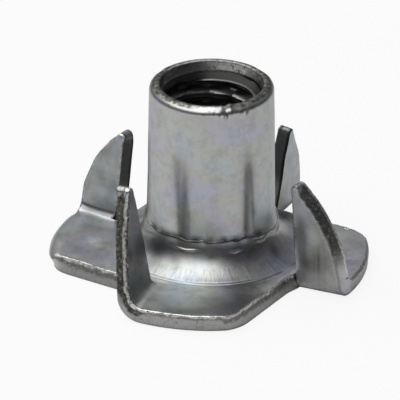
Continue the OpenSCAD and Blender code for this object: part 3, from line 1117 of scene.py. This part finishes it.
def zinc_material():
    """Bright zinc plating on pressed steel: faint blue and straw tints, draw
    marks along the barrel and out over the sweep, dull sheared edges."""
    mat = bpy.data.materials.new("zinc_plated_steel")
    n = Nodes(mat)
    place = n.add("TexCoord").outputs["Object"]
    marks = {name: n.add("Attribute", attribute_name=name).outputs["Fac"]
             for name in MARKS}
    noises = {"patches": n.noise(place, 330.0, 2.0),
              "mottle": n.noise(place, 1500.0, 4.0, 0.65),
              "lines": n.noise(draw_space(n, place), 26.0, 4.0, 0.7),
              "grain": n.noise(place, 9000.0, 2.0, 0.6),
              "specks": n.noise(place, 4200.0, 3.0, 0.7),
              "fleck": n.noise(place, 5000.0, 3.0, 0.65)}
    n.fill(n.tree.nodes["Principled BSDF"],
           **{"Base Color": metal_colour(n, marks, noises),
              "Roughness": metal_roughness(n, marks, noises),
              "Normal": metal_relief(n, marks, noises), "Metallic": 1.0})
    return mat


# --- floor, light and camera

FLOOR_R = 0.12
FLOOR_SIDES = 96
FLOOR_COLOUR = (0.86, 0.86, 0.86, 1)
FLOOR_GLOW = 0.88
# the room: the way towards its light ceiling, and its greys from floor to there
CEILING_WAY = (-0.15, 0.5, 0.85)
ROOM = ((0.05, (0.02, 0.02, 0.022)), (0.85, (0.30, 0.30, 0.32)))
LIGHT_X = -0.2
LIGHT_HEIGHT = 0.35
LIGHT_SIZE = (0.5, 0.66)
LIGHT_WATTS = 1.75


def make_floor():
    """A plain pale table top, round and just wider than the view."""
    mesh = bpy.data.meshes.new("floor")
    rim = [(*(FLOOR_R * unit(k * 360 / FLOOR_SIDES)), 0) for k in range(FLOOR_SIDES)]
    mesh.from_pydata(rim, [], [tuple(range(FLOOR_SIDES))])
    mat = bpy.data.materials.new("pale_floor")
    n = Nodes(mat)
    matt = n.fill(n.tree.nodes["Principled BSDF"],
                  **{"Base Color": FLOOR_COLOUR, "Roughness": 0.9}).outputs[0]
    glow = n.add("Emission", (1, 1, 1, 1)).outputs[0]
    seen = n.add("LightPath").outputs["Is Camera Ray"]
    mix = n.add("MixShader", n.times(seen, FLOOR_GLOW), matt, glow)
    n.fill(n.tree.nodes["Material Output"], Surface=mix.outputs[0])
    mesh.materials.append(mat)
    return placed("floor", mesh)


def make_light():
    """One soft box overhead, to the left, facing straight down as lights do."""
    light = bpy.data.lights.new("overhead", "AREA")
    light.shape = "RECTANGLE"
    light.size, light.size_y = LIGHT_SIZE
    light.energy = LIGHT_WATTS
    placed("overhead", light).location = (LIGHT_X, 0, LIGHT_HEIGHT)


def make_world():
    """A dim room: dark in front, with a grey ceiling and back wall."""
    world = bpy.data.worlds.new("room")
    bpy.context.scene.world = world
    n = Nodes(world)
    facing = n.add("VectorMath", n.add("TexCoord").outputs["Generated"], CEILING_WAY,
                   operation="DOT_PRODUCT")
    n.fill(n.tree.nodes["Background"], Color=n.ramp(facing.outputs["Value"], *ROOM))


CAMERA_ELEVATION = 25.373
CAMERA_DISTANCE = 170.0
CAMERA_AIM = (-0.6704, 0.0, 3.9295)
CAMERA_ROLL = 0.1848
FOCAL_PIXELS = 2822.0
PHOTO_PIXELS = 400


def make_camera():
    """The photograph's view: from the front, about 25 degrees above the floor."""
    cam = bpy.data.cameras.new("camera")
    cam.sensor_width = 36.0
    cam.lens = FOCAL_PIXELS * cam.sensor_width / PHOTO_PIXELS
    cam.clip_start, cam.clip_end = 0.01, 10
    e, roll = math.radians(CAMERA_ELEVATION), math.radians(CAMERA_ROLL)
    back = Vector((0, -math.cos(e), math.sin(e)))
    right = Vector((1, 0, 0))
    up = back.cross(right)
    across = math.cos(roll) * right + math.sin(roll) * up
    above = -math.sin(roll) * right + math.cos(roll) * up
    obj = placed("camera", cam)
    turn = Matrix((across, above, back)).transposed().to_4x4()
    place = (Vector(CAMERA_AIM) + back * CAMERA_DISTANCE) * MM
    obj.matrix_world = Matrix.Translation(place) @ turn
    bpy.context.scene.camera = obj


def main():
    scene = bpy.context.scene
    scene.view_settings.view_transform = "Standard"
    make_camera()
    make_world()
    make_floor()
    make_light()
    nut = make_nut()
    nut.data.materials.append(zinc_material())
    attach(nut, "root")
    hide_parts("tee_nut")


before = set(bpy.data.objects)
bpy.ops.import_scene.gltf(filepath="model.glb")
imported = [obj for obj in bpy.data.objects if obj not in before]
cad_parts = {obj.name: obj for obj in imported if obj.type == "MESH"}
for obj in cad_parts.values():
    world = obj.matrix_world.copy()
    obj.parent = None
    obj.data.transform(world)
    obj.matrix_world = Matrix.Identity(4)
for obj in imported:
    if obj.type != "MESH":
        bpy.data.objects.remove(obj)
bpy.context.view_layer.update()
main()
